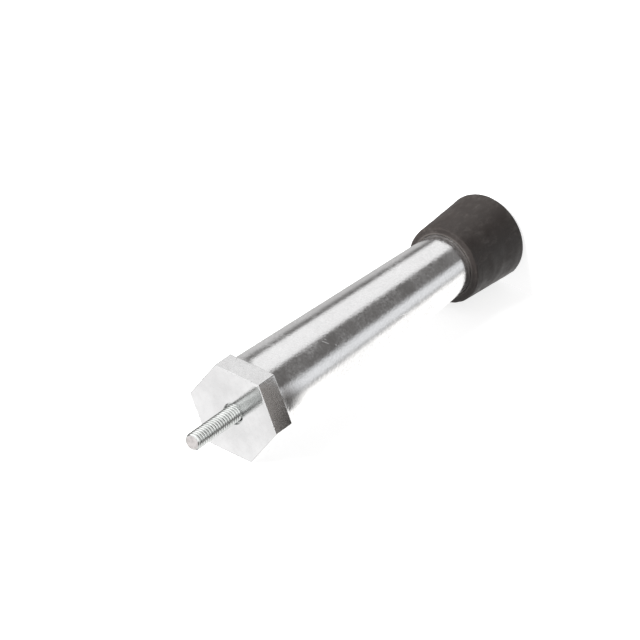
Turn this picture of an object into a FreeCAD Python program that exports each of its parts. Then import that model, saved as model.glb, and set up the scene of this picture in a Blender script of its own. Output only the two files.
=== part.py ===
import FreeCAD, Part
import math
import os

# Furniture leveling foot: a tapered metal leg with a hexagonal wrench flange, a threaded stud
# that screws into its top, and a rubber boot with a steel washer on its narrow end.
# Millimetres. +Z up along the leg, origin at the centre of the boot's floor pad.

# --- leg: turned from hexagonal aluminium bar ---
hex_across_flats = 31.75
flange_thickness = 9.2
flange_edge_chamfer = 0.35
shoulder_step = 0.3          # how far the turned shank stands inside the flats
leg_length = 150.0           # seat face of the flange to the narrow end
narrow_end_diameter = 22.2
narrow_end_chamfer = 0.8

# --- stud: unified coarse thread, a quarter inch by twenty to the inch ---
thread_diameter = 6.35
thread_pitch = 1.27
stud_length = 44.45
stud_exposed = 23.3          # above the flange with the stud screwed home
stud_end_chamfer = 0.52
free_thread_gap = 0.5        # from the flange's face to the full diameter of the free end
adjusting_turns = 9          # turns of the leg that raise the stud from home to its limit

# --- tapped hole in the flange, drawn at its thread's pitch diameter ---
hole_extra_depth = 1.6       # below the stud's lower end
drill_point_angle = 118.0
countersink_diameter = 8.2

# --- rubber boot ---
boot_height = 28.6
boot_base_diameter = 32.8
boot_mouth_wall = 3.0
boot_floor_thickness = 5.0
boot_mouth_round = 0.8       # outer corner of the open end
mouth_lead_in = 0.7          # bevel inside the open end
pad_height = 1.0             # how far the floor pad stands out past the lip
pad_edge_round = 0.35
groove_width = 0.6           # between the pad and the lip
groove_depth = 0.9           # measured up from the lip's edge
lip_width = 0.85
lip_edge_round = 0.5

# --- steel washer on the floor of the boot's socket ---
washer_thickness = 1.2
washer_diameter = 22.0
washer_hole_diameter = 9.5

# --- clearances, all on the radius ---
boot_clearance = 0.05
thread_clearance = 0.05
washer_clearance = 0.10

# --- heights and radii that follow from the sizes above ---
narrow_end_z = boot_floor_thickness + washer_thickness
seat_z = narrow_end_z + leg_length
flange_bottom_z = seat_z - flange_thickness
shank_top_radius = hex_across_flats / 2 - shoulder_step
narrow_end_radius = narrow_end_diameter / 2
stud_top_z = seat_z + stud_exposed
stud_bottom_z = stud_top_z - stud_length
stud_radius = thread_diameter / 2
sharp_thread_height = thread_pitch * math.sqrt(3) / 2
pitch_radius = stud_radius - sharp_thread_height * 3 / 8
free_thread_z = seat_z + free_thread_gap
hole_radius = pitch_radius + thread_clearance
hole_bottom_z = stud_bottom_z - hole_extra_depth
rise = adjusting_turns * thread_pitch


def shank_radius_at(z):
    """Radius of the tapered shank at a height."""
    share = (z - narrow_end_z) / (flange_bottom_z - narrow_end_z)
    return narrow_end_radius + (shank_top_radius - narrow_end_radius) * share


def point(radius, z):
    """A point of a turned profile, in the XZ plane."""
    return FreeCAD.Vector(radius, 0, z)


def turned(profile):
    """Solid of revolution about Z from a closed list of edges in the XZ plane."""
    face = Part.Face(Part.Wire(profile))
    return face.revolve(FreeCAD.Vector(0, 0, 0), FreeCAD.Vector(0, 0, 1), 360)


def polyline(points):
    """Straight edges from each point to the next."""
    return [Part.LineSegment(a, b).toShape() for a, b in zip(points, points[1:])]


def quarter_round(start, corner, end):
    """Arc that rounds a corner, touching both of its sides."""
    chord_middle = (start + end) * 0.5
    reach = corner - chord_middle
    half_chord = (end - start).Length / 2
    half_turn = math.atan2(reach.Length, half_chord)
    bulge = half_chord * math.tan(half_turn / 2)
    middle = chord_middle + reach * (bulge / reach.Length)
    return Part.Arc(start, middle, end).toShape()


def rounded_corner(before, corner, after, radius):
    """Start, corner and end of a round of the given radius between two straight sides."""
    to_before = (before - corner).normalize()
    to_after = (after - corner).normalize()
    half_angle = to_before.getAngle(to_after) / 2
    setback = radius / math.tan(half_angle)
    return corner + to_before * setback, corner, corner + to_after * setback


def hex_flange():
    """Hexagonal prism with two flats facing +Y and -Y, its end edges lightly bevelled."""
    corner_radius = hex_across_flats / math.sqrt(3)
    corners = []
    for step in range(7):
        angle = math.radians(60 * step)
        x = corner_radius * math.cos(angle)
        y = corner_radius * math.sin(angle)
        corners.append(FreeCAD.Vector(x, y, flange_bottom_z))
    outline = Part.Face(Part.makePolygon(corners))
    prism = outline.extrude(FreeCAD.Vector(0, 0, flange_thickness))
    end_edges = [edge for edge in prism.Edges if abs(edge.Vertexes[0].Z - edge.Vertexes[1].Z) < 1e-6]
    return prism.makeChamfer(flange_edge_chamfer, end_edges)


def leg_body():
    """Hex flange and tapered shank in one piece, with a blind tapped hole in the top."""
    shank = turned(polyline([
        point(0, narrow_end_z),
        point(narrow_end_radius - narrow_end_chamfer, narrow_end_z),
        point(shank_radius_at(narrow_end_z + narrow_end_chamfer), narrow_end_z + narrow_end_chamfer),
        point(shank_top_radius, flange_bottom_z),
        point(shank_top_radius, seat_z - flange_edge_chamfer),
        point(0, seat_z - flange_edge_chamfer),
        point(0, narrow_end_z),
    ]))
    countersink_radius = countersink_diameter / 2
    countersink_depth = countersink_radius - hole_radius
    drill_point_depth = hole_radius / math.tan(math.radians(drill_point_angle / 2))
    cut_above = 1.0
    tapped_hole = turned(polyline([
        point(0, hole_bottom_z - drill_point_depth),
        point(hole_radius, hole_bottom_z),
        point(hole_radius, seat_z - countersink_depth),
        point(countersink_radius, seat_z),
        point(countersink_radius, seat_z + cut_above),
        point(0, seat_z + cut_above),
        point(0, hole_bottom_z - drill_point_depth),
    ]))
    return hex_flange().fuse(shank).cut(tapped_hole).removeSplitter()


def threaded_stud():
    """Stud without its helix: the free end at the thread's outer diameter, the engaged length,
    which turns in the tapped hole, at the pitch diameter. Both ends are bevelled."""
    return turned(polyline([
        point(0, stud_bottom_z),
        point(pitch_radius - stud_end_chamfer, stud_bottom_z),
        point(pitch_radius, stud_bottom_z + stud_end_chamfer),
        point(pitch_radius, free_thread_z),
        point(stud_radius, free_thread_z),
        point(stud_radius, stud_top_z - stud_end_chamfer),
        point(stud_radius - stud_end_chamfer, stud_top_z),
        point(0, stud_top_z),
        point(0, stud_bottom_z),
    ]))


def rubber_boot():
    """Cup that grips the shank: flat floor pad, groove, rounded lip, conical wall, open mouth."""
    base_radius = boot_base_diameter / 2
    bore_mouth_radius = shank_radius_at(boot_height) + boot_clearance
    mouth_radius = bore_mouth_radius + boot_mouth_wall
    lip_inner_radius = base_radius - lip_width
    pad_radius = lip_inner_radius - groove_width
    groove_top_z = pad_height + groove_depth
    pocket_radius = washer_diameter / 2 + washer_clearance

    pad_corner = point(pad_radius, 0)
    lip_edge = point(lip_inner_radius, pad_height)
    lip_corner = point(base_radius, pad_height)
    mouth_corner = point(mouth_radius, boot_height)
    mouth_inner = point(bore_mouth_radius + mouth_lead_in, boot_height)

    pad_round = rounded_corner(point(0, 0), pad_corner, point(pad_radius, groove_top_z), pad_edge_round)
    lip_round = rounded_corner(lip_edge, lip_corner, mouth_corner, min(lip_edge_round, lip_width * 0.9))
    mouth_round = rounded_corner(lip_corner, mouth_corner, mouth_inner, boot_mouth_round)

    profile = polyline([point(0, 0), pad_round[0]])
    profile.append(quarter_round(*pad_round))
    profile += polyline([
        pad_round[2],
        point(pad_radius, groove_top_z),
        point(lip_inner_radius, groove_top_z),
        lip_edge,
        lip_round[0],
    ])
    profile.append(quarter_round(*lip_round))
    profile += polyline([lip_round[2], mouth_round[0]])
    profile.append(quarter_round(*mouth_round))
    profile += polyline([
        mouth_round[2],
        mouth_inner,
        point(shank_radius_at(boot_height - mouth_lead_in) + boot_clearance, boot_height - mouth_lead_in),
        point(narrow_end_radius + boot_clearance, narrow_end_z),
        point(pocket_radius, narrow_end_z),
        point(pocket_radius, boot_floor_thickness),
        point(0, boot_floor_thickness),
        point(0, 0),
    ])
    return turned(profile)


def boot_washer():
    """Flat steel washer that keeps the metal end from cutting through the boot's floor."""
    bottom = FreeCAD.Vector(0, 0, boot_floor_thickness)
    disc = Part.makeCylinder(washer_diameter / 2, washer_thickness, bottom)
    hole = Part.makeCylinder(washer_hole_diameter / 2, washer_thickness, bottom)
    return disc.cut(hole)


os.makedirs("parts", exist_ok=True)
pieces = {
    "leg_body": leg_body(),
    "threaded_stud": threaded_stud(),
    "rubber_boot": rubber_boot(),
    "boot_washer": boot_washer(),
}
for name, shape in pieces.items():
    shape.exportStep(f"parts/{name}.step")
    print(name, "valid", shape.isValid(), "solids", len(shape.Solids), "volume", round(shape.Volume, 1))
print("stud rise", rise, "mm, thread still engaged", round(stud_length - stud_exposed - rise, 2), "mm")
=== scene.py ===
import math
import bpy
import bmesh
import numpy as np
from mathutils import Matrix, Vector


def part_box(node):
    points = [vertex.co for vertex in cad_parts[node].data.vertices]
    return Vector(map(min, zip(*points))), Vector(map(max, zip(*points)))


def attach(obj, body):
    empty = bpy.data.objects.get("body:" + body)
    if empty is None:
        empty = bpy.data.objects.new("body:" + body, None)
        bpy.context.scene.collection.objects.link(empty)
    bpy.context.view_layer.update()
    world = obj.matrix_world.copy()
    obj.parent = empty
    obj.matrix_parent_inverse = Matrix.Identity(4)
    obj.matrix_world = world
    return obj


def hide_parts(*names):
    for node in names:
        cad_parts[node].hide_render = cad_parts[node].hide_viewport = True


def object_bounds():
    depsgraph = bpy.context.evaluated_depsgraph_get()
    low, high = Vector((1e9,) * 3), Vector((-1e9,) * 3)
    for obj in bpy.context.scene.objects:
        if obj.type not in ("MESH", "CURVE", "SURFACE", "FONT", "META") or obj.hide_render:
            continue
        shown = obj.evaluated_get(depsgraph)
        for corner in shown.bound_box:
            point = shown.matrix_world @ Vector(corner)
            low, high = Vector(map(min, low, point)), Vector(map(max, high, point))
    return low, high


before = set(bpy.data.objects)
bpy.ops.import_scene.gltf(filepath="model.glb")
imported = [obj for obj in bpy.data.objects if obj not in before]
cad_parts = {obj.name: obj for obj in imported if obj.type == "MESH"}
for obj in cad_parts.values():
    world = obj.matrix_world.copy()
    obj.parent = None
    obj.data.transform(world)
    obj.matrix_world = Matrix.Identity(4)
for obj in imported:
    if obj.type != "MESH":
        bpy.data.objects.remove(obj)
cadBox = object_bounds()
mm = 0.001
legLow, legHigh = (np.array(corner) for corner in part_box("leg_body"))
studLow, studHigh = (np.array(corner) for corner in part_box("threaded_stud"))
bootHigh = np.array(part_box("rubber_boot")[1])
washerHigh = np.array(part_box("boot_washer")[1])
mending = {"merge": 2e-7, "thinnest": 1e-7}         # metres between points that become one
print("frame loaded, leg", round(legHigh[2] / mm, 1), "mm to the flange face")


def evenAngles(columns):
    # the angles of columns that stand evenly round the leg's axis
    return np.arange(columns) * 2 * math.pi / columns


def polar(radius, angle, z):
    # points at a radius and angle round the leg's axis, at height z
    return np.stack([radius * np.cos(angle), radius * np.sin(angle), z + 0 * angle], axis=-1)


def gridQuads(rows, columns, start=0):
    # one quad between each four neighbours, closed round the columns, facing outwards when rows go up
    row, column = np.meshgrid(np.arange(rows - 1), np.arange(columns), indexing="ij")
    after = (column + 1) % columns
    quads = np.stack([row * columns + column, row * columns + after,
                      (row + 1) * columns + after, (row + 1) * columns + column], axis=-1)
    return start + quads.reshape(-1, 4)


def buildPiece(name, points, polygons, materials, materialOf=None):
    # a mesh object from points and polygons of any size, its doubles merged and its shading smooth
    mesh = bpy.data.meshes.new(name)
    mesh.from_pydata(points.tolist(), [], polygons)
    for material in materials:
        mesh.materials.append(material)
    if materialOf is not None:
        mesh.polygons.foreach_set("material_index", np.array(materialOf, np.int32))
    shape = bmesh.new()
    shape.from_mesh(mesh)
    bmesh.ops.remove_doubles(shape, verts=shape.verts, dist=mending["merge"])
    bmesh.ops.dissolve_degenerate(shape, edges=shape.edges, dist=mending["thinnest"])
    shape.to_mesh(mesh)
    shape.free()
    mesh.polygons.foreach_set("use_smooth", np.ones(len(mesh.polygons), bool))
    mesh.update()
    piece = bpy.data.objects.new(name, mesh)
    bpy.context.scene.collection.objects.link(piece)
    print(name, len(mesh.polygons), "faces")
    return piece


def smoothStep(low, high, value):
    share = np.clip((value - low) / (high - low), 0, 1)
    return share * share * (3 - 2 * share)


def quarter(steps):
    # run and rise along a quarter circle that starts flat, both from 0 to 1
    turn = np.linspace(0, math.pi / 2, steps)
    return np.sin(turn), 1 - np.cos(turn)


def ripple(seed, count, slowest, fastest):
    # a sum of a few sines with seeded phases, as a function of two coordinates
    draw = np.random.default_rng(seed)
    alongA = draw.uniform(slowest, fastest, count) * draw.choice([-1, 1], count)
    alongB = draw.uniform(slowest, fastest, count)
    phase = draw.uniform(0, 2 * math.pi, count)

    def value(a, b):
        waves = [np.sin(alongA[n] * a + alongB[n] * b + phase[n]) for n in range(count)]
        return sum(waves) / math.sqrt(count)
    return value


def feed(tree, socket, value):
    # links the socket to another one, or sets its constant; a colour of three numbers gets its alpha
    if isinstance(value, bpy.types.NodeSocket):
        tree.links.new(value, socket)
    elif socket.type == "RGBA":
        socket.default_value = (*value, 1)
    else:
        socket.default_value = value


def feedAll(tree, node, **values):
    # feeds a node's inputs by their names, with a low line for each space
    for key, value in values.items():
        feed(tree, node.inputs[key.replace("_", " ")], value)


def mathNode(tree, operation, *values, clamp=False):
    node = tree.nodes.new("ShaderNodeMath")
    node.operation = operation
    node.use_clamp = clamp
    for socket, value in zip(node.inputs, values):
        feed(tree, socket, value)
    return node.outputs[0]


def vectorNode(tree, operation, first, second=None):
    node = tree.nodes.new("ShaderNodeVectorMath")
    node.operation = operation
    feed(tree, node.inputs[0], first)
    if second is not None:
        feed(tree, node.inputs["Scale" if operation == "SCALE" else 1], second)
    return node.outputs["Value" if operation in ("DOT_PRODUCT", "LENGTH") else "Vector"]


def weightedSum(tree, first, firstWeight, second, secondWeight):
    return mathNode(tree, "ADD", mathNode(tree, "MULTIPLY", first, firstWeight),
                    mathNode(tree, "MULTIPLY", second, secondWeight))


def mapRange(tree, value, fromLow, fromHigh, toLow, toHigh, smooth=False):
    node = tree.nodes.new("ShaderNodeMapRange")
    node.interpolation_type = "SMOOTHSTEP" if smooth else "LINEAR"
    feedAll(tree, node, Value=value, From_Min=fromLow, From_Max=fromHigh, To_Min=toLow, To_Max=toHigh)
    return node.outputs["Result"]


def mixColour(tree, share, first, second):
    node = tree.nodes.new("ShaderNodeMix")
    node.data_type = "RGBA"
    for place, value in ((0, share), (6, first), (7, second)):      # the factor and the two colours
        feed(tree, node.inputs[place], value)
    return node.outputs[2]


def noiseNode(tree, vector, scale, detail, roughness=0.55):
    node = tree.nodes.new("ShaderNodeTexNoise")
    feedAll(tree, node, Vector=vector, Scale=scale, Detail=detail, Roughness=roughness)
    return node.outputs["Fac"]


def stretched(tree, vector, scale):
    node = tree.nodes.new("ShaderNodeMapping")
    feedAll(tree, node, Vector=vector, Scale=scale)
    return node.outputs["Vector"]


def newGroup(name, vectors, numbers, outputs):
    # a shader node group whose inputs are some vectors and some numbers, and whose outputs are numbers
    group = bpy.data.node_groups.new(name, "ShaderNodeTree")
    for labels, side, kind in ((vectors, "INPUT", "NodeSocketVector"),
                               (numbers, "INPUT", "NodeSocketFloat"),
                               (outputs, "OUTPUT", "NodeSocketFloat")):
        for label in labels:
            group.interface.new_socket(name=label, in_out=side, socket_type=kind)
    given = group.nodes.new("NodeGroupInput").outputs
    wanted = group.nodes.new("NodeGroupOutput").inputs
    return group, given, wanted


def placeGroup(tree, group, **values):
    node = tree.nodes.new("ShaderNodeGroup")
    node.node_tree = group
    feedAll(tree, node, **values)
    return node.outputs


def newMaterial(name, **values):
    # gives the material, its tree, its shader's inputs and the object's coordinates
    material = bpy.data.materials.new(name)
    material.use_nodes = True
    tree = material.node_tree
    tree.nodes.clear()
    shader = tree.nodes.new("ShaderNodeBsdfPrincipled")
    feedAll(tree, shader, **values)
    output = tree.nodes.new("ShaderNodeOutputMaterial")
    tree.links.new(shader.outputs[0], output.inputs[0])
    place = tree.nodes.new("ShaderNodeTexCoord").outputs["Object"]
    return material, tree, shader.inputs, place


def axisRadius(tree, place):
    # distance from the leg's axis and height, as sockets
    split = tree.nodes.new("ShaderNodeSeparateXYZ")
    tree.links.new(place, split.inputs[0])
    squares = [mathNode(tree, "MULTIPLY", split.outputs[n], split.outputs[n]) for n in (0, 1)]
    return mathNode(tree, "SQRT", mathNode(tree, "ADD", *squares)), split.outputs[2]


def joinBump(tree, shader, height, distance):
    bump = tree.nodes.new("ShaderNodeBump")
    feedAll(tree, bump, Strength=1.0, Distance=distance, Height=height)
    tree.links.new(bump.outputs["Normal"], shader["Normal"])


mottleShape = {
    "patchDetail": 4.0,
    "patchRange": (0.3, 0.7),       # noise values that become 0 and 1
    "grainDetail": 3.0,
    "grainRange": (0.25, 0.75),
    "roughness": 0.6,
}
scratchShape = {
    "distortion": 14.0,
    "detail": 2.0,
    "detailScale": 0.6,
    "crest": (0.97, 1.0),           # the part of the wave that makes a line
    "breakScale": 90.0,
    "breakDetail": 2.0,
    "breakLevel": (0.75, 0.35),     # noise above this keeps a line, for an amount of 0 and of 1
}


def mottleGroup():
    # cloudy patches of two sizes, from 0 to 1, for uneven polish, plating and dust
    tree, given, wanted = newGroup("mottle", ["Vector"], ["Patch Scale", "Grain Scale", "Grain Share"],
                                   ["Patches", "Grain", "Both"])
    rough = mottleShape["roughness"]
    patch = noiseNode(tree, given["Vector"], given["Patch Scale"], mottleShape["patchDetail"], rough)
    grain = noiseNode(tree, given["Vector"], given["Grain Scale"], mottleShape["grainDetail"], rough)
    patches = mapRange(tree, patch, *mottleShape["patchRange"], 0, 1, smooth=True)
    grains = mapRange(tree, grain, *mottleShape["grainRange"], 0, 1)
    share = given["Grain Share"]
    both = weightedSum(tree, grains, share, patches, mathNode(tree, "SUBTRACT", 1.0, share))
    for label, value in (("Patches", patches), ("Grain", grains), ("Both", both)):
        tree.links.new(value, wanted[label])
    return tree


def scratchGroup():
    # thin scattered lines: a wave whose crest is cut narrow, broken up by noise
    tree, given, wanted = newGroup("scratches", ["Vector"], ["Spacing Scale", "Amount"], ["Lines"])
    wave = tree.nodes.new("ShaderNodeTexWave")
    wave.bands_direction = "DIAGONAL"
    feedAll(tree, wave, Vector=given["Vector"], Scale=given["Spacing Scale"],
            Distortion=scratchShape["distortion"], Detail=scratchShape["detail"],
            Detail_Scale=scratchShape["detailScale"])
    breaks = noiseNode(tree, given["Vector"], scratchShape["breakScale"], scratchShape["breakDetail"])
    thin = mapRange(tree, wave.outputs["Fac"], *scratchShape["crest"], 0, 1)
    level = mapRange(tree, given["Amount"], 0, 1, *scratchShape["breakLevel"])
    kept = mathNode(tree, "GREATER_THAN", breaks, level)
    tree.links.new(mathNode(tree, "MULTIPLY", thin, kept), wanted["Lines"])
    return tree


def scoreGroup():
    # one short score: a mask that is 1 on the line from Start to End and 0 a Width away from it
    tree, given, wanted = newGroup("score", ["Vector", "Start", "End"], ["Width"], ["Line"])
    offset = vectorNode(tree, "SUBTRACT", given["Vector"], given["Start"])
    line = vectorNode(tree, "SUBTRACT", given["End"], given["Start"])
    share = mathNode(tree, "DIVIDE", vectorNode(tree, "DOT_PRODUCT", offset, line),
                     vectorNode(tree, "DOT_PRODUCT", line, line), clamp=True)
    nearest = vectorNode(tree, "SCALE", line, share)
    away = vectorNode(tree, "LENGTH", vectorNode(tree, "SUBTRACT", offset, nearest))
    widths = mathNode(tree, "DIVIDE", away, given["Width"])
    tree.links.new(mathNode(tree, "SUBTRACT", 1.0, widths, clamp=True), wanted["Line"])
    return tree


mottle = mottleGroup()
scratches = scratchGroup()
score = scoreGroup()


def cloudOf(tree, place, finish):
    # the mottling that a finish asks for
    return placeGroup(tree, mottle, Vector=place, Patch_Scale=finish["patches"],
                      Grain_Scale=finish["grain"], Grain_Share=finish["grainShare"])


# the leg's three surfaces; scales count features to the metre, noise is its scale, detail and roughness,
# a range says which values become 0 and 1, and heights are in grain depths
legFinish = {
    "colour": (0.84, 0.84, 0.845),
    "grainDepth": 0.024 * mm,           # on the shank and the flats
}
shankFinish = {
    "patches": 420.0,
    "grain": 1000.0,
    "grainShare": 0.4,
    "shades": (0.90, 1.06),             # the colour's darkest and lightest share
    "toneWeights": (0.75, 0.25),        # of the grain and of the patches
    "roughness": (0.10, 0.28),          # the polish, and the dulled patches in it
    "wideScale": 95.0,
    "wideDetail": 2.0,
    "dulling": (0.3, 0.7, 0.35, 1),     # from this range of the wide noise to these shares
    "hazing": (0.38, 0.64, 0.15, 1),
    "haze": 0.21,                       # share of dull oxide where a patch is at its strongest
    "specks": (1200.0, 2.0, 0.6),
    "speckRange": (0.34, 0.70),
    "feedStretch": (60, 60, 2600),      # turning leaves rings that are fine along the axis
    "feedDetail": 2.0,
    "feedHeight": 0.35,
    "scoreHeight": 2.2,
    "scoreWidth": 0.13 * mm,
    # scores on the shank: angle round the axis and height at each end, in degrees and millimetres
    "scores": [(-56.7, 113.7, -74.0, 110.7), (-58.0, 115.2, -66.0, 113.6), (-95.0, 74.0, -99.0, 69.5),
               (118.0, 96.0, 112.0, 90.0), (48.0, 52.0, 52.0, 45.5), (160.0, 110.0, 168.0, 101.0)],
}
flatFinish = {
    "patches": 260.0,
    "grain": 1300.0,
    "grainShare": 0.6,
    "shades": (0.80, 1.0),
    "toneWeights": (0.6, 0.4),          # of the mottling and of the die's lines
    "roughness": (0.15, 0.32),
    "dullRange": (0.25, 0.8),
    "haze": 0.12,
    "specks": (800.0, 3.0, 0.65),
    "speckRange": (0.45, 0.75),
    "dieStretch": (1900, 1900, 60),     # drawing leaves lines along the bar
    "dieNoise": (1.0, 3.0, 0.7),
    "dieHeight": 2.0,
    "mottleHeight": 1.2,
    "scratchHeight": 2.0,
    "scratchScale": 90.0,
    "scratchAmount": 0.5,
}
faceFinish = {
    "patches": 75.0,
    "grain": 1500.0,
    "grainShare": 0.1,
    "shades": (0.86, 1.04),
    "roughness": (0.04, 0.11),
    "feedPitch": 0.22 * mm,
    "feedHeight": 0.2,
    "grainDepth": 0.008 * mm,
}


def shankRadius(z):
    # the cone's radius at a height, straight from the narrow end to the shoulder
    bottom, flangeBottom = legLow[2], legHigh[2] - leg["flangeThickness"]
    endRadius, topRadius = leg["endDiameter"] / 2, legHigh[1] - leg["shoulderStep"]
    return endRadius + (topRadius - endRadius) * (z - bottom) / (flangeBottom - bottom)


def tintMetal(tree, shader, tone, finish):
    # a tone from 0 to 1 picks between the finish's darkest and lightest shade of the metal
    dark, light = ([part * share for part in legFinish["colour"]] for share in finish["shades"])
    feed(tree, shader["Base Color"], mixColour(tree, tone, dark, light))


def hazeMetal(tree, shader, share, finish):
    # oxide isn't a metal: where the share is 1 the haze takes its part of the metallic look away
    feed(tree, shader["Metallic"], mapRange(tree, share, 0, 1, 1.0, 1.0 - finish["haze"]))


def scoreMarks(tree, place):
    # the strongest of the scores' masks at each point
    marks = None
    for startAngle, startHeight, endAngle, endHeight in shankFinish["scores"]:
        start, end = (tuple(polar(shankRadius(height * mm), math.radians(turn), height * mm))
                      for turn, height in ((startAngle, startHeight), (endAngle, endHeight)))
        mark = placeGroup(tree, score, Vector=place, Start=start, End=end,
                          Width=shankFinish["scoreWidth"])["Line"]
        marks = mark if marks is None else mathNode(tree, "MAXIMUM", marks, mark)
    return marks


def polishedAluminium():
    material, tree, shader, place = newMaterial("turned aluminium", Metallic=1.0)
    finish = shankFinish
    cloud = cloudOf(tree, place, finish)
    grainWeight, patchWeight = finish["toneWeights"]
    tone = weightedSum(tree, cloud["Grain"], grainWeight, cloud["Patches"], patchWeight)
    tintMetal(tree, shader, tone, finish)
    wide = noiseNode(tree, place, finish["wideScale"], finish["wideDetail"])
    dulled = mathNode(tree, "MULTIPLY", cloud["Both"], mapRange(tree, wide, *finish["dulling"]))
    feed(tree, shader["Roughness"], mapRange(tree, dulled, 0, 1, *finish["roughness"]))
    specks = mapRange(tree, noiseNode(tree, place, *finish["specks"]), *finish["speckRange"], 0, 1)
    hazed = mathNode(tree, "MULTIPLY", specks, mapRange(tree, wide, *finish["hazing"]))
    hazeMetal(tree, shader, hazed, finish)
    rings = noiseNode(tree, stretched(tree, place, finish["feedStretch"]), 1.0, finish["feedDetail"])
    height = weightedSum(tree, cloud["Grain"], 1.0, rings, finish["feedHeight"])
    depth = mathNode(tree, "MULTIPLY", scoreMarks(tree, place), finish["scoreHeight"])
    joinBump(tree, shader, mathNode(tree, "SUBTRACT", height, depth), legFinish["grainDepth"])
    return material


def drawnAluminium():
    material, tree, shader, place = newMaterial("drawn aluminium flats", Metallic=1.0)
    finish = flatFinish
    cloud = cloudOf(tree, place, finish)
    dieLines = noiseNode(tree, stretched(tree, place, finish["dieStretch"]), *finish["dieNoise"])
    lines = placeGroup(tree, scratches, Vector=place, Spacing_Scale=finish["scratchScale"],
                       Amount=finish["scratchAmount"])["Lines"]
    mottleWeight, lineWeight = finish["toneWeights"]
    tone = weightedSum(tree, cloud["Both"], mottleWeight, dieLines, lineWeight)
    tintMetal(tree, shader, tone, finish)
    dulled = mapRange(tree, cloud["Grain"], *finish["dullRange"], *finish["roughness"])
    feed(tree, shader["Roughness"], dulled)
    specks = mapRange(tree, noiseNode(tree, place, *finish["specks"]), *finish["speckRange"], 0, 1)
    hazeMetal(tree, shader, specks, finish)
    height = weightedSum(tree, dieLines, finish["dieHeight"], cloud["Both"], finish["mottleHeight"])
    depth = mathNode(tree, "MULTIPLY", lines, finish["scratchHeight"])
    joinBump(tree, shader, mathNode(tree, "SUBTRACT", height, depth), legFinish["grainDepth"])
    return material


def facedAluminium():
    # the turning marks are rings: a sine of the distance from the axis
    material, tree, shader, place = newMaterial("faced aluminium", Metallic=1.0)
    finish = faceFinish
    cloud = cloudOf(tree, place, finish)
    radius, _ = axisRadius(tree, place)
    turns = mathNode(tree, "SINE", mathNode(tree, "MULTIPLY", radius, 2 * math.pi / finish["feedPitch"]))
    tintMetal(tree, shader, cloud["Both"], finish)
    smooth, rough = finish["roughness"]
    feed(tree, shader["Roughness"], mapRange(tree, cloud["Both"], 0, 1, rough, smooth))
    rings = mathNode(tree, "MULTIPLY", turns, finish["feedHeight"])
    joinBump(tree, shader, mathNode(tree, "ADD", rings, cloud["Grain"]), finish["grainDepth"])
    return material


leg = {
    "columns": 360,
    "cornerCrowding": 0.7,      # how much closer the columns stand at the hexagon's corners
    "cornerRound": 0.35 * mm,
    "flangeThickness": 9.2 * mm,
    "flangeRows": 10,
    "faceRows": 13,
    "edgeRound": 0.30 * mm,
    "shoulderStep": 0.3 * mm,
    "shoulderFillet": 0.25 * mm,
    "endDiameter": 22.2 * mm,
    "endRound": 0.8 * mm,
    "endRings": (0, 0.3, 0.6, 0.9),
    "roundSteps": 6,
    "shankRows": 60,
    "shankFrom": 1.3,           # where the shank's rows begin, in end rounds
    "seatSteps": (0.5, 1.0),    # rings out to the hexagon, under the flange
    "wave": (11, 9, 1, 5),      # seed, count, slowest and fastest of the ripple on the polished shank
    "waveSpread": (3, 90),      # round the leg, and along it to the metre
    "waviness": 0.006 * mm,     # how far the polished surface leaves a true cone
    "nick": (29, 24, 300, 2600),
    "nickSpread": 0.02,         # metres that a radian counts as
    "nickLevel": 0.9,           # the ripple makes a nick where it is above this
    "nickDepth": 0.10 * mm,
    "nickOnEdge": 0.5,          # share of the depth away from the corners
    "nickReach": 1.2 * mm,      # nicks fade out this far from an edge, and are full at the next distance
    "nickFull": 0.2 * mm,
    "nickCorner": (2.2, 0.4),   # the same from a corner, in degrees round the axis
    "countersinkDiameter": 8.2 * mm,
    "rimGap": 0.12 * mm,        # between the face's last ring and the countersink's rim
}
thread = {
    "pitch": 1.27 * mm,
    "radius": 3.175 * mm,
    "depth": 0.68 * mm,
    "crest": 0.20,              # share of the pitch that the crest's flat takes
    "flankEnd": 0.86,           # where the flank ends, from 0 in the crest's middle to 1 in the root's
    "straight": 0.65,           # share of the fall that is straight; the rest rounds off into the root
    "clearance": 0.05 * mm,
    "rootClearance": 0.02 * mm,
    "drillClearance": 0.03 * mm,
    "drillAngle": 59,           # half the drill point's angle, in degrees
    "rowsPerTurn": 12,
    "studColumns": 96,
    "holeColumns": 90,
    "extraHole": 1.6 * mm,
}


def hexRadius(angle, flat, rounding):
    # distance from the axis to a hexagon with flats at 30, 90, 150 ... degrees and rounded corners:
    # flat / cos(off) along a flat, and the far side of the corner's circle near a corner
    off = np.abs(angle % (math.pi / 3) - math.pi / 6)
    centre = (flat - rounding) / math.cos(math.pi / 6)
    tangentOff = math.atan((flat - rounding) * math.tan(math.pi / 6) / flat)
    gamma = math.pi / 6 - off
    along = flat / np.cos(off)
    corner = centre * np.cos(gamma) + np.sqrt(np.maximum(rounding ** 2 - (centre * np.sin(gamma)) ** 2, 0))
    return np.where(off <= tangentOff, along, corner)


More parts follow.
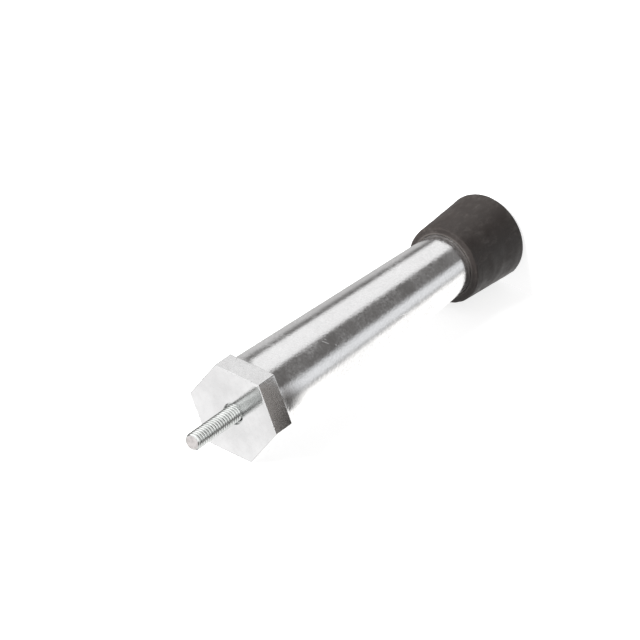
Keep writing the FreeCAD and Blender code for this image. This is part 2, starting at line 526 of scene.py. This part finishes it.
def helixSurface(columns, low, high, radiusOf, ringsBelow, ringsAbove=()):
    # a threaded surface whose rows follow the helix: z = s + pitch * angle / full turn, kept between the
    # two ends, and radius from the height and the place on the thread's profile; past each end come
    # rings of a radius and a height
    pitch, perTurn = thread["pitch"], thread["rowsPerTurn"]
    angle = evenAngles(columns)
    first = math.floor((low - pitch) / pitch) * perTurn
    last = math.ceil(high / pitch) * perTurn + 1
    s = np.arange(first, last + 1) * pitch / perTurn
    z = np.clip(s[:, None] + pitch * angle[None] / (2 * math.pi), low, high)
    phase = (z / pitch - angle[None] / (2 * math.pi)) % 1.0
    points = polar(radiusOf(z, phase), angle[None], z)
    rows = len(s)
    row, column = np.meshgrid(np.arange(rows - 1), np.arange(columns), indexing="ij")
    after = (column + 1) % columns
    jump = np.where(column == columns - 1, perTurn, 0)        # the seam joins each turn to the next
    lower = np.minimum(row + jump, rows - 1)
    upper = np.minimum(row + 1 + jump, rows - 1)
    quads = np.stack([row * columns + column, lower * columns + after,
                      upper * columns + after, (row + 1) * columns + column], axis=-1).reshape(-1, 4)
    lowRows = np.arange(perTurn)                              # and the first turn to the lowest row
    seamEnd = np.full(perTurn, columns - 1)
    seam = np.stack([seamEnd, lowRows * columns, (lowRows + 1) * columns, seamEnd], axis=-1)
    allPoints, allQuads = [points.reshape(-1, 3)], [quads, seam]
    count = rows * columns
    for rings, isBelow in ((ringsBelow, True), (ringsAbove, False)):
        block = [polar(radius, angle, height) for radius, height in rings]
        if not block:
            continue
        block = np.stack(block[::-1] + [points[0]] if isBelow else [points[-1]] + block)
        allPoints.append(block.reshape(-1, 3))
        allQuads.append(gridQuads(len(block), columns, count))
        count += len(block) * columns
    return np.concatenate(allPoints), np.concatenate(allQuads)


def threadProfile(phase, radius, depth):
    # flat crest, straight flanks and a rounded root; plating leaves the crest wider than it was cut
    away = np.abs((phase + 0.5) % 1.0 - 0.5) * 2      # 0 on the crest, 1 in the root
    fall = np.clip((away - thread["crest"]) / (thread["flankEnd"] - thread["crest"]), 0, 1)
    return radius - depth * (thread["straight"] * fall + (1 - thread["straight"]) * smoothStep(0, 1, fall))


def legRings(angle):
    # rings from the middle of the narrow end, up the shank and the hexagon, to the countersink's rim;
    # the finish numbers each ring's material: 0 shank, 1 flats, 2 faces
    seat, bottom = legHigh[2], legLow[2]
    flat = legHigh[1]
    flangeBottom = seat - leg["flangeThickness"]
    topRadius = flat - leg["shoulderStep"]
    endRadius, endRound = leg["endDiameter"] / 2, leg["endRound"]
    fillet, edge = leg["shoulderFillet"], leg["edgeRound"]
    wave = ripple(*leg["wave"])
    waveRound, waveAlong = leg["waveSpread"]
    run, rise = quarter(leg["roundSteps"])
    rings, finish = [], []

    def add(radius, z, material):
        rings.append(polar(radius + 0 * angle, angle, z))
        finish.append(material)

    for share in leg["endRings"]:
        add((endRadius - endRound) * share, bottom, 2)
    for a, b in zip(run, rise):
        z = bottom + endRound * b
        add(shankRadius(z) - endRound * (1 - a), z, 0)
    for z in np.linspace(bottom + endRound * leg["shankFrom"], flangeBottom - fillet, leg["shankRows"]):
        add(shankRadius(z) + leg["waviness"] * wave(waveRound * np.cos(angle), z * waveAlong), z, 0)
    for a, b in zip(run[1:], rise[1:]):
        add(topRadius + fillet * b, flangeBottom - fillet * (1 - a), 0)
    outline = hexRadius(angle, flat, leg["cornerRound"])
    inset = hexRadius(angle, flat - edge, leg["cornerRound"])
    for share in leg["seatSteps"]:
        add((topRadius + fillet) * (1 - share) + inset * share, flangeBottom, 2)
    for a, b in zip(run[1:], rise[1:]):
        add(inset + edge * a, flangeBottom + edge * b, 1)
    for z in np.linspace(flangeBottom + edge, seat - edge, leg["flangeRows"] + 2)[1:-1]:
        add(outline, z, 1)
    for a, b in zip(run[::-1], rise[::-1]):
        add(inset + edge * a, seat - edge * b, 1)
    rim = leg["countersinkDiameter"] / 2 + leg["rimGap"]
    for share in np.linspace(0, 1, leg["faceRows"] + 1)[1:]:
        add(inset * (1 - share) + rim * share, seat, 2)
    return np.stack(rings), finish


def nicked(points, angle):
    # nicks: shallow dents where seeded noise peaks on the hexagon's edges
    seat, flat, reach = legHigh[2], legHigh[1], leg["nickReach"]
    flangeBottom = seat - leg["flangeThickness"]
    nick = ripple(*leg["nick"])
    z = points[..., 2]
    edgeOff = np.minimum(np.abs(z - seat), np.abs(z - flangeBottom))
    nearEdge = smoothStep(reach, leg["nickFull"], edgeOff)
    cornerOff = np.abs((angle + math.pi / 6) % (math.pi / 3) - math.pi / 6)
    cornerReach, cornerFull = (math.radians(degrees) for degrees in leg["nickCorner"])
    nearCorner = smoothStep(cornerReach, cornerFull, cornerOff)[None]
    radial = np.hypot(points[..., 0], points[..., 1])
    onRim = (radial > flat - reach) & (z > flangeBottom - 1e-6)         # its lower ring counts too
    peaks = np.maximum(nick(angle[None] * leg["nickSpread"], z) - leg["nickLevel"], 0)
    dent = peaks * onRim * np.maximum(nearEdge * leg["nickOnEdge"], nearCorner)
    shrink = 1 - leg["nickDepth"] * np.clip(dent, 0, 1) / np.maximum(radial, 1e-9)      # never by 0
    return points * np.stack([shrink, shrink, np.ones_like(shrink)], axis=-1)


def tappedHole(start, rimStart):
    # thread with clearance, opened by the countersink's cone and closed by the drill's point, and the
    # strip out to the face's last ring; start and rimStart count the points before each of them
    seat, bottom = legHigh[2], studLow[2] - thread["extraHole"]
    columns, rimRadius = thread["holeColumns"], leg["countersinkDiameter"] / 2
    cutRadius, cutDepth = thread["radius"] + thread["clearance"], thread["depth"] + thread["rootClearance"]

    def radiusOf(z, phase):
        return np.maximum(threadProfile(phase, cutRadius, cutDepth), rimRadius - (seat - z))

    drillRadius = thread["radius"] - thread["depth"] + thread["drillClearance"]
    point = drillRadius / math.tan(math.radians(thread["drillAngle"]))
    drillEnd = [(drillRadius, bottom), (0, bottom - point)]
    points, quads = helixSurface(columns, bottom, seat, radiusOf, drillEnd)
    rimPoints = polar(rimRadius, evenAngles(columns), seat)
    rimIndex = start + len(points)
    ratio = leg["columns"] // columns
    strips = []
    for n in range(columns):
        outer = [rimStart + (n * ratio + k) % leg["columns"] for k in range(ratio + 1)]
        strips.append(outer + [rimIndex + (n + 1) % columns, rimIndex + n])
    return np.concatenate([points, rimPoints]), (quads[:, ::-1] + start).tolist() + strips


def legPiece():
    columns = leg["columns"]
    even = evenAngles(columns)
    angle = even - leg["cornerCrowding"] * np.sin(6 * even) / 6
    rings, finish = legRings(angle)
    outside = nicked(rings, angle).reshape(-1, 3)
    quads = gridQuads(len(rings), columns).tolist()
    materialOf = np.repeat(np.maximum(finish[:-1], finish[1:]), columns).tolist()
    holePoints, holeFaces = tappedHole(len(outside), (len(rings) - 1) * columns)
    piece = buildPiece("turned_leg", np.concatenate([outside, holePoints]), quads + holeFaces,
                       [polishedAluminium(), drawnAluminium(), facedAluminium()],
                       materialOf + [2] * len(holeFaces))
    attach(piece, "leg")
    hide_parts("leg_body")


legPiece()


stud = {
    "bevel": 0.52 * mm,
    "lift": (5, 6, 1, 3),       # seed, count, slowest and fastest of the ripple on its cut ends
    "endRings": (0.86, 0.6, 0.35, 0.12, 0.0),
    "endSpread": 2,             # how far the ripple runs from the middle to the rim
    "tipUnevenness": 0.05 * mm,
    "tipSunk": 0.6,             # share of the unevenness that sinks the whole end
    "patches": 420.0,
    "grain": 2600.0,
    "grainShare": 0.5,
    "plating": ((0.60, 0.622, 0.608), (0.89, 0.908, 0.896)),
    "rootShade": 0.80,          # the thread's root against its crest: painted shade, darker in the root where the flanks hide it from the light
    "rootReach": (0.04 * mm, 0.28 * mm),
    "cutEnd": ((0.52, 0.495, 0.49), (0.88, 0.84, 0.83)),
    "cutDepth": (0.12 * mm, 0.08 * mm),     # below the stud's top, where the cut end's look begins
    "cutInset": (0.25 * mm, 0.05 * mm),     # inside the end's rim, where it stops
    "roughness": (0.13, 0.26),
    "endRoughness": 0.34,
    "platingDepth": 0.010 * mm,
}


def zincPlating():
    # plated thread with painted shade in its root, and a bare cut end
    material, tree, shader, place = newMaterial("zinc plating", Metallic=1.0)
    blotch = cloudOf(tree, place, stud)["Both"]
    radius, z = axisRadius(tree, place)
    endLow, endHigh = (studHigh[2] - depth for depth in stud["cutDepth"])
    rimLow, rimHigh = (thread["radius"] - stud["bevel"] - inset for inset in stud["cutInset"])
    onEnd = mathNode(tree, "MULTIPLY", mapRange(tree, z, endLow, endHigh, 0, 1),
                     mapRange(tree, radius, rimLow, rimHigh, 1, 0))
    rootLow, rootHigh = (thread["radius"] - thread["depth"] + reach for reach in stud["rootReach"])
    # painted shade: the plating's colour darkens towards the thread's root
    paintedRootShade = mapRange(tree, radius, rootLow, rootHigh, stud["rootShade"], 1, smooth=True)
    plated = vectorNode(tree, "SCALE", mixColour(tree, blotch, *stud["plating"]), paintedRootShade)
    bare = mixColour(tree, blotch, *stud["cutEnd"])
    feed(tree, shader["Base Color"], mixColour(tree, onEnd, plated, bare))
    smooth, rough = stud["roughness"]
    extra = mathNode(tree, "MULTIPLY", onEnd, stud["endRoughness"] - smooth)
    roughness = mathNode(tree, "ADD", mapRange(tree, blotch, 0, 1, rough, smooth), extra)
    feed(tree, shader["Roughness"], roughness)
    joinBump(tree, shader, blotch, stud["platingDepth"])
    return material


def studPiece():
    low, high = studLow[2], studHigh[2]
    lift = ripple(*stud["lift"])
    tip = thread["radius"] - stud["bevel"]
    angle = evenAngles(thread["studColumns"])

    def radiusOf(z, phase):
        cut = threadProfile(phase, thread["radius"], thread["depth"])
        return np.minimum(cut, tip + np.minimum(high - z, z - low))

    def endRings(z, inwards):
        # rings of a slightly sunk and uneven end, from near its rim to its middle
        rings = []
        for share in stud["endRings"]:
            reach = share * stud["endSpread"]
            uneven = (1 - stud["tipSunk"]) * lift(reach * np.cos(angle), reach * np.sin(angle))
            rings.append((tip * share, z + inwards * stud["tipUnevenness"] * (stud["tipSunk"] + uneven)))
        return rings

    points, quads = helixSurface(thread["studColumns"], low, high, radiusOf,
                                 endRings(low, 1), endRings(high, -1))
    piece = buildPiece("screw_thread", points, quads.tolist(), [zincPlating()])
    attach(piece, "stud")
    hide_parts("threaded_stud")


studPiece()


boot = {
    "columns": 240,
    "patches": 190.0,
    "grain": 1100.0,
    "grainShare": 0.35,
    "colour": (0.0235, 0.0185, 0.0168),
    "dust": (0.17, 0.155, 0.145),
    "film": 0.15,               # shares of dust: everywhere, in specks, and on the rim beside the metal
    "dusty": 0.42,
    "worn": 0.4,
    "specks": (420.0, 4.0, 0.75),
    "speckStretch": (1.0, 1.0, 0.45),
    "speckRange": (0.50, 0.78),
    "wornDepth": (0.5 * mm, 0.2 * mm),      # below the open end, where the worn rim begins
    "wornReach": (0.3 * mm, 1.3 * mm),      # outside the metal, where it ends
    "specular": 0.45,
    "roughness": (0.46, 0.72),
    "skinDepth": 0.05 * mm,
    "roundSteps": 6,
    "mouthWall": 3.0 * mm,
    "mouthRound": 0.8 * mm,
    "leadIn": 0.22 * mm,
    "leadInRound": 0.04 * mm,
    "leadInEnds": (0.8, 1.2),   # how deep its last two rings lie, in lead-ins
    "boreRing": 0.6,            # share of the boot's height
    "floorRings": (0.7, 0.3, 0),
    "innerEdge": 0.12 * mm,
    "grip": 0.02 * mm,
    "floor": 5.0 * mm,
    "washerGap": 0.1 * mm,
    "padRings": (0, 0.25, 0.5, 0.75, 0.93),
    "padHeight": 1.0 * mm,
    "padRound": 0.35 * mm,
    "grooveWidth": 0.6 * mm,
    "grooveDepth": 0.9 * mm,
    "grooveCorner": 0.15 * mm,
    "lipWidth": 0.85 * mm,
    "lipCorner": (0.06 * mm, 0.08 * mm),
    "lipRound": 0.5 * mm,
    "wallRows": 26,
    "wallPlain": 0.9,           # share of the wall below its fine rings
    "wallRings": (0.905, 0.995),
    "wallRingRows": 24,
    "wallRingPitch": 0.03,
    "endRings": (0.65, 0.3),    # two fine rings on the open end, as shares of its width
    "endRingWidths": (0.16 * mm, 0.05 * mm),
    "ringDepth": 0.05 * mm,
    "swell": (3, 10, 2, 9),     # seed, count, slowest and fastest of the ripple on its outside
    "swellRound": (3, 2),       # round the boot: once a turn and twice a turn
    "swellSpread": 150,         # to the metre of height
    "swellOutside": 0.94,       # share of the base radius past which a point is on the outside
    "unevenness": 0.05 * mm,
}


def mouldedRubber():
    material, tree, shader, place = newMaterial("moulded rubber", Specular_IOR_Level=boot["specular"])
    cloud = cloudOf(tree, place, boot)
    specks = noiseNode(tree, stretched(tree, place, boot["speckStretch"]), *boot["specks"])
    dusty = mathNode(tree, "MULTIPLY", mapRange(tree, specks, *boot["speckRange"], 0, 1), cloud["Patches"])
    radius, z = axisRadius(tree, place)
    rimLow, rimHigh = (bootHigh[2] - depth for depth in boot["wornDepth"])
    near, far = (shankRadius(bootHigh[2]) + reach for reach in boot["wornReach"])
    worn = mathNode(tree, "MULTIPLY", mapRange(tree, z, rimLow, rimHigh, 0, 1),
                    mapRange(tree, radius, near, far, 1, 0, smooth=True))
    dust = weightedSum(tree, cloud["Both"], boot["film"], dusty, boot["dusty"])
    dust = mathNode(tree, "ADD", dust, mathNode(tree, "MULTIPLY", worn, boot["worn"]), clamp=True)
    feed(tree, shader["Base Color"], mixColour(tree, dust, boot["colour"], boot["dust"]))
    feed(tree, shader["Roughness"], mapRange(tree, cloud["Both"], 0, 1, *boot["roughness"]))
    joinBump(tree, shader, cloud["Both"], boot["skinDepth"])
    return material


def bootBore(z):
    # the bore's radius at a height
    return shankRadius(z) + boot["grip"]


def bootFoot(base, run, rise):
    # radius and height from the pad's middle, through the groove and round the lip
    padHeight, lipRound, padRound = boot["padHeight"], boot["lipRound"], boot["padRound"]
    lipInner = base - boot["lipWidth"]
    pad = lipInner - boot["grooveWidth"]
    grooveTop, corner = padHeight + boot["grooveDepth"], boot["grooveCorner"]
    lipRun, lipRise = boot["lipCorner"]
    profile = [(pad * share, 0.0) for share in boot["padRings"]]
    profile += [(pad - padRound * (1 - a), padRound * b) for a, b in zip(run, rise)]
    profile += [(pad, grooveTop - corner), (pad + corner, grooveTop)]
    profile += [(lipInner - corner, grooveTop), (lipInner, grooveTop - corner)]
    profile += [(lipInner, padHeight + lipRise), (lipInner + lipRun, padHeight)]
    profile += [(base - lipRound * (1 - a), padHeight + lipRound * b) for a, b in zip(run, rise)]
    return profile


def bootWall(base, mouth, low, high):
    # the tapering wall, with fine rings near its top: depth * (cosine - 1) / 2, cut into the wall
    plain = np.linspace(0, boot["wallPlain"], boot["wallRows"])[1:]
    profile = [(base + (mouth - base) * share, low + (high - low) * share) for share in plain]
    for share in np.linspace(*boot["wallRings"], boot["wallRingRows"]):
        wave = np.cos((share - boot["wallRings"][0]) * 2 * math.pi / boot["wallRingPitch"])
        dip = boot["ringDepth"] * (wave - 1) / 2
        profile.append((base + (mouth - base) * share + dip, low + (high - low) * share))
    return profile


def bootInside(mouth, corner, top, bottom):
    # the open end with its two fine rings, the bore's lead-in, the bore and the floor under the washer
    leadIn, depth, washerRadius = boot["leadIn"], boot["ringDepth"], washerHigh[0]
    inner = bootBore(top) + leadIn
    wide, narrow = boot["endRingWidths"]
    profile = []
    for share in boot["endRings"]:
        ring = inner + (mouth - corner - inner) * share
        profile += [(ring + wide, top), (ring + narrow, top - depth)]
        profile += [(ring - narrow, top - depth), (ring - wide, top)]
    profile += [(inner + boot["innerEdge"], top), (inner, top - boot["leadInRound"])]
    nearer, deeper = boot["leadInEnds"]
    profile += [(bootBore(top - leadIn) + boot["leadInRound"], top - leadIn * nearer)]
    profile += [(bootBore(z), z) for z in (top - leadIn * deeper, top * boot["boreRing"], bottom)]
    profile += [(washerRadius + boot["washerGap"], z) for z in (bottom, boot["floor"])]
    profile += [(washerRadius * share, boot["floor"]) for share in boot["floorRings"]]
    return profile


def bootPiece():
    columns = boot["columns"]
    angle = evenAngles(columns)
    base, top = bootHigh[0], bootHigh[2]
    mouth, corner = bootBore(top) + boot["mouthWall"], boot["mouthRound"]
    wallLow, wallHigh = boot["padHeight"] + boot["lipRound"], top - corner
    run, rise = quarter(boot["roundSteps"])
    profile = bootFoot(base, run, rise) + bootWall(base, mouth, wallLow, wallHigh)
    profile += [(mouth - corner * b, wallHigh + corner * a) for a, b in zip(run, rise)]
    profile = np.array(profile + bootInside(mouth, corner, top, legLow[2]))
    radius = np.repeat(profile[:, :1], columns, axis=1)
    z = np.repeat(profile[:, 1:], columns, axis=1)
    outside = (radius > base * boot["swellOutside"]) | ((z > wallLow) & (radius > mouth - corner))
    uneven = ripple(*boot["swell"])
    once, twice = boot["swellRound"]
    turning = once * np.cos(angle)[None] + twice * np.sin(2 * angle)[None]
    swell = uneven(turning, z * boot["swellSpread"])
    inset = boot["unevenness"] * swell - boot["unevenness"]
    points = polar(radius + np.where(outside, inset, 0), angle[None], z).reshape(-1, 3)
    quads = gridQuads(len(profile), columns)
    piece = buildPiece("leg_boot", points, quads.tolist(), [mouldedRubber()])
    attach(piece, "boot")
    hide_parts("rubber_boot")


bootPiece()


washerFinish = {
    "patches": 260.0,
    "grain": 1800.0,
    "grainShare": 0.5,
    "colours": ((0.36, 0.36, 0.37), (0.60, 0.60, 0.61)),
    "roughness": (0.3, 0.5),
    "grainDepth": 0.01 * mm,
}


def washerSteel():
    material, tree, shader, place = newMaterial("pressed steel", Metallic=1.0)
    blotch = cloudOf(tree, place, washerFinish)["Both"]
    feed(tree, shader["Base Color"], mixColour(tree, blotch, *washerFinish["colours"]))
    smooth, rough = washerFinish["roughness"]
    feed(tree, shader["Roughness"], mapRange(tree, blotch, 0, 1, rough, smooth))
    joinBump(tree, shader, blotch, washerFinish["grainDepth"])
    return material


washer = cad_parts["boot_washer"]
washer.data.materials.clear()
washer.data.materials.append(washerSteel())
print("washer finished")


viewing = {
    "azimuth": 20.569,
    "elevation": 45.270,
    "roll": -124.925,
    "lens": 281.39,
    "distance": 1742.84 * mm,
    "aimHeight": 0.5336,        # share of the object's height
    "aimAside": (8.62 * mm, 3.24 * mm),
    "farthest": 20,             # metres that the camera sees
}


def placeCamera():
    azimuth, elevation, roll = (math.radians(viewing[key]) for key in ("azimuth", "elevation", "roll"))
    toCamera = Vector((math.sin(azimuth) * math.cos(elevation),
                       -math.cos(azimuth) * math.cos(elevation), math.sin(elevation)))
    side = (-toCamera).cross(Vector((0, 0, 1))).normalized()
    above = side.cross(-toCamera)
    right = side * math.cos(roll) + above * math.sin(roll)
    up = above * math.cos(roll) - side * math.sin(roll)
    aim = Vector((*viewing["aimAside"], viewing["aimHeight"] * cadBox[1][2]))
    data = bpy.data.cameras.new("camera")
    data.lens = viewing["lens"]
    data.clip_end = viewing["farthest"]
    camera = bpy.data.objects.new("camera", data)
    turn = Matrix((right, up, toCamera)).transposed().to_4x4()
    camera.matrix_world = Matrix.Translation(aim + toCamera * viewing["distance"]) @ turn
    bpy.context.scene.collection.objects.link(camera)
    bpy.context.scene.camera = camera
    print("camera placed")


placeCamera()


stage = {
    "wallFacing": -30.0,        # degrees round the leg's axis that the lying surface faces
    "wallAway": 16.45 * mm,
    "size": 3.0,
    "glow": 0.78,
    "bounce": 0.55,
}
keyLight = {"facing": 8.0, "rise": 42.0, "away": 1.0, "size": 0.6, "energy": 20.0}
# round black flags beside the flange: facing, distance and radius, the heights of their ends, and how
# far up from the low end they fade in
flags = [
    {"facing": -109.0, "away": 38.0 * mm, "radius": 17.5 * mm,
     "low": 125.0 * mm, "high": 157.0 * mm, "fade": 15.0 * mm},
    {"facing": 66.0, "away": 35.3 * mm, "radius": 15.8 * mm,
     "low": 126.0 * mm, "high": 154.0 * mm, "fade": 12.0 * mm},
]
flagFinish = {"colour": (0.135, 0.126, 0.119), "roughness": 0.7, "columns": 48}
white = (1.0, 1.0, 1.0)
# strips of light and dark round the leg: facing, half width and feather in degrees, level and tint
lowStrips = [
    {"facing": -3.0, "halfWidth": 32.0, "feather": 6.5, "level": 0.98, "tint": white},
    {"facing": -107.5, "halfWidth": 16.0, "feather": 9.5, "level": 0.92, "tint": (0.955, 0.975, 1.0)},
    {"facing": -190.0, "halfWidth": 59.0, "feather": 9.0, "level": 1.32, "tint": (1.0, 0.995, 0.98)},
    {"facing": 85.0, "halfWidth": 34.0, "feather": 12.0, "level": 0.55, "tint": white},
]
highStrips = [
    {"facing": -3.0, "halfWidth": 27.0, "feather": 8.0, "level": 0.9, "tint": white},
    {"facing": -106.0, "halfWidth": 15.0, "feather": 9.0, "level": 0.85, "tint": (0.96, 0.98, 1.0)},
    {"facing": 170.0, "halfWidth": 28.0, "feather": 8.0, "level": 0.95, "tint": white},
    {"facing": 90.0, "halfWidth": 18.0, "feather": 8.0, "level": 0.85, "tint": white},
]
overheadStrips = [
    {"facing": 133.0, "halfWidth": 58.0, "feather": 12.0, "level": 1.03, "tint": white},
    {"facing": -36.5, "halfWidth": 78.5, "feather": 9.0, "level": 1.4, "tint": white},
]
# levels of light, and where each set of strips gives way to the next, as the direction's z
room = {
    "dark": 0.14,
    "darkTint": (0.146, 0.140, 0.136),
    "zenith": 1.15,
    "fill": 0.40,               # what the dull surfaces get from all sides
    "high": (-0.60, -0.48),
    "overhead": (0.10, 0.35),
    "zenithFrom": (0.80, 0.92),
}


def stripSum(tree, azimuth, strips):
    # the dark tint plus all strips: each is (level - dark) * tint inside its half width and fades over
    # its feather
    total = None
    for strip in strips:
        away = mathNode(tree, "SUBTRACT", azimuth, math.radians(strip["facing"]))
        away = mathNode(tree, "ABSOLUTE", mathNode(tree, "WRAP", away, math.pi, -math.pi))
        inner = math.radians(strip["halfWidth"] - strip["feather"])
        outer = math.radians(strip["halfWidth"] + strip["feather"])
        amount = mapRange(tree, away, inner, outer, strip["level"] - room["dark"], 0, smooth=True)
        tinted = vectorNode(tree, "SCALE", strip["tint"], amount)
        total = tinted if total is None else vectorNode(tree, "ADD", total, tinted)
    return vectorNode(tree, "ADD", total, room["darkTint"])


def studioLight():
    world = bpy.data.worlds.new("studio")
    bpy.context.scene.world = world
    world.use_nodes = True
    tree = world.node_tree
    tree.nodes.clear()
    direction = tree.nodes.new("ShaderNodeTexCoord").outputs["Generated"]
    split = tree.nodes.new("ShaderNodeSeparateXYZ")
    tree.links.new(direction, split.inputs[0])
    x, y, z = split.outputs
    azimuth = mathNode(tree, "ARCTAN2", y, x)
    light = stripSum(tree, azimuth, lowStrips)
    for reach, strips in (("high", highStrips), ("overhead", overheadStrips)):
        share = mapRange(tree, z, *room[reach], 0, 1, smooth=True)
        light = mixColour(tree, share, light, stripSum(tree, azimuth, strips))
    zenith = mapRange(tree, z, *room["zenithFrom"], 0, 1, smooth=True)
    light = mixColour(tree, zenith, light, (room["zenith"],) * 3)
    path = tree.nodes.new("ShaderNodeLightPath")
    light = mixColour(tree, path.outputs["Is Diffuse Ray"], light, (room["fill"],) * 3)
    final = mixColour(tree, path.outputs["Is Camera Ray"], light, white)
    background = tree.nodes.new("ShaderNodeBackground")
    tree.links.new(final, background.inputs["Color"])
    output = tree.nodes.new("ShaderNodeOutputWorld")
    tree.links.new(background.outputs[0], output.inputs[0])


def stageMaterial():
    # pale and slightly glowing in front, clear from behind
    material = bpy.data.materials.new("pale sweep")
    material.use_nodes = True
    tree = material.node_tree
    tree.nodes.clear()
    diffuse = tree.nodes.new("ShaderNodeBsdfDiffuse")
    feed(tree, diffuse.inputs["Color"], (stage["bounce"],) * 3)
    glow = tree.nodes.new("ShaderNodeEmission")
    glow.inputs["Strength"].default_value = stage["glow"]
    both = tree.nodes.new("ShaderNodeAddShader")
    clear = tree.nodes.new("ShaderNodeBsdfTransparent")
    behind = tree.nodes.new("ShaderNodeNewGeometry").outputs["Backfacing"]
    pick = tree.nodes.new("ShaderNodeMixShader")
    output = tree.nodes.new("ShaderNodeOutputMaterial")
    for source, socket in ((diffuse.outputs[0], both.inputs[0]), (glow.outputs[0], both.inputs[1]),
                           (behind, pick.inputs[0]), (both.outputs[0], pick.inputs[1]),
                           (clear.outputs[0], pick.inputs[2]), (pick.outputs[0], output.inputs[0])):
        tree.links.new(source, socket)
    return material


def stagePlane(name, corners, material):
    mesh = bpy.data.meshes.new(name)
    mesh.from_pydata([list(corner) for corner in corners], [], [list(range(len(corners)))])
    mesh.materials.append(material)
    plane = bpy.data.objects.new(name, mesh)
    bpy.context.scene.collection.objects.link(plane)
    plane.visible_glossy = False
    plane.visible_diffuse = False


def softbox():
    # one large soft lamp on the side that the lying surface faces; the metal doesn't mirror it
    data = bpy.data.lights.new("softbox", "AREA")
    data.shape = "DISK"
    data.size = keyLight["size"]
    data.energy = keyLight["energy"]
    lamp = bpy.data.objects.new("softbox", data)
    facing, rise = math.radians(keyLight["facing"]), math.radians(keyLight["rise"])
    toLamp = Vector((math.cos(facing) * math.cos(rise), math.sin(facing) * math.cos(rise), math.sin(rise)))
    middle = Vector((0, 0, cadBox[1][2] / 2))
    turn = toLamp.to_track_quat("Z", "Y").to_matrix().to_4x4()
    lamp.matrix_world = Matrix.Translation(middle + toLamp * keyLight["away"]) @ turn
    lamp.visible_glossy = False
    bpy.context.scene.collection.objects.link(lamp)


def blackFlag(flag):
    # a round black flag beside the flange, seen only in the metal, so that its side reads dark
    columns, low, high = flagFinish["columns"], flag["low"], flag["high"]
    facing = math.radians(flag["facing"])
    aside = flag["away"] * np.array([math.cos(facing), math.sin(facing), 0])
    ends = ((0, low), (flag["radius"], low), (flag["radius"], high), (0, high))
    points = np.concatenate([polar(radius, evenAngles(columns), z) + aside for radius, z in ends])
    material, tree, shader, place = newMaterial("black flag", Roughness=flagFinish["roughness"],
                                                Base_Color=flagFinish["colour"])
    _, height = axisRadius(tree, place)
    feed(tree, shader["Alpha"], mapRange(tree, height, low, low + flag["fade"], 0, 1, smooth=True))
    card = buildPiece("black_flag", points, gridQuads(len(ends), columns).tolist(), [material])
    card.visible_camera = False
    card.visible_diffuse = False
    card.visible_shadow = False
    card.visible_transmission = False


def buildStage():
    material = stageMaterial()
    half = stage["size"] / 2
    facing = math.radians(stage["wallFacing"])
    normal = Vector((math.cos(facing), math.sin(facing), 0))
    along = Vector((0, 0, 1)).cross(normal)
    foot = -normal * stage["wallAway"]
    top = Vector((0, 0, stage["size"]))
    wall = [foot - along * half, foot + along * half,
            foot + along * half + top, foot - along * half + top]
    stagePlane("lying_surface", wall, material)
    floor = [Vector((x * half, y * half, 0)) for x, y in ((-1, -1), (1, -1), (1, 1), (-1, 1))]
    stagePlane("floor", floor, material)
    for flag in flags:
        blackFlag(flag)
    softbox()
    print("stage ready")


studioLight()
buildStage()
bpy.context.scene.view_settings.view_transform = "Standard"
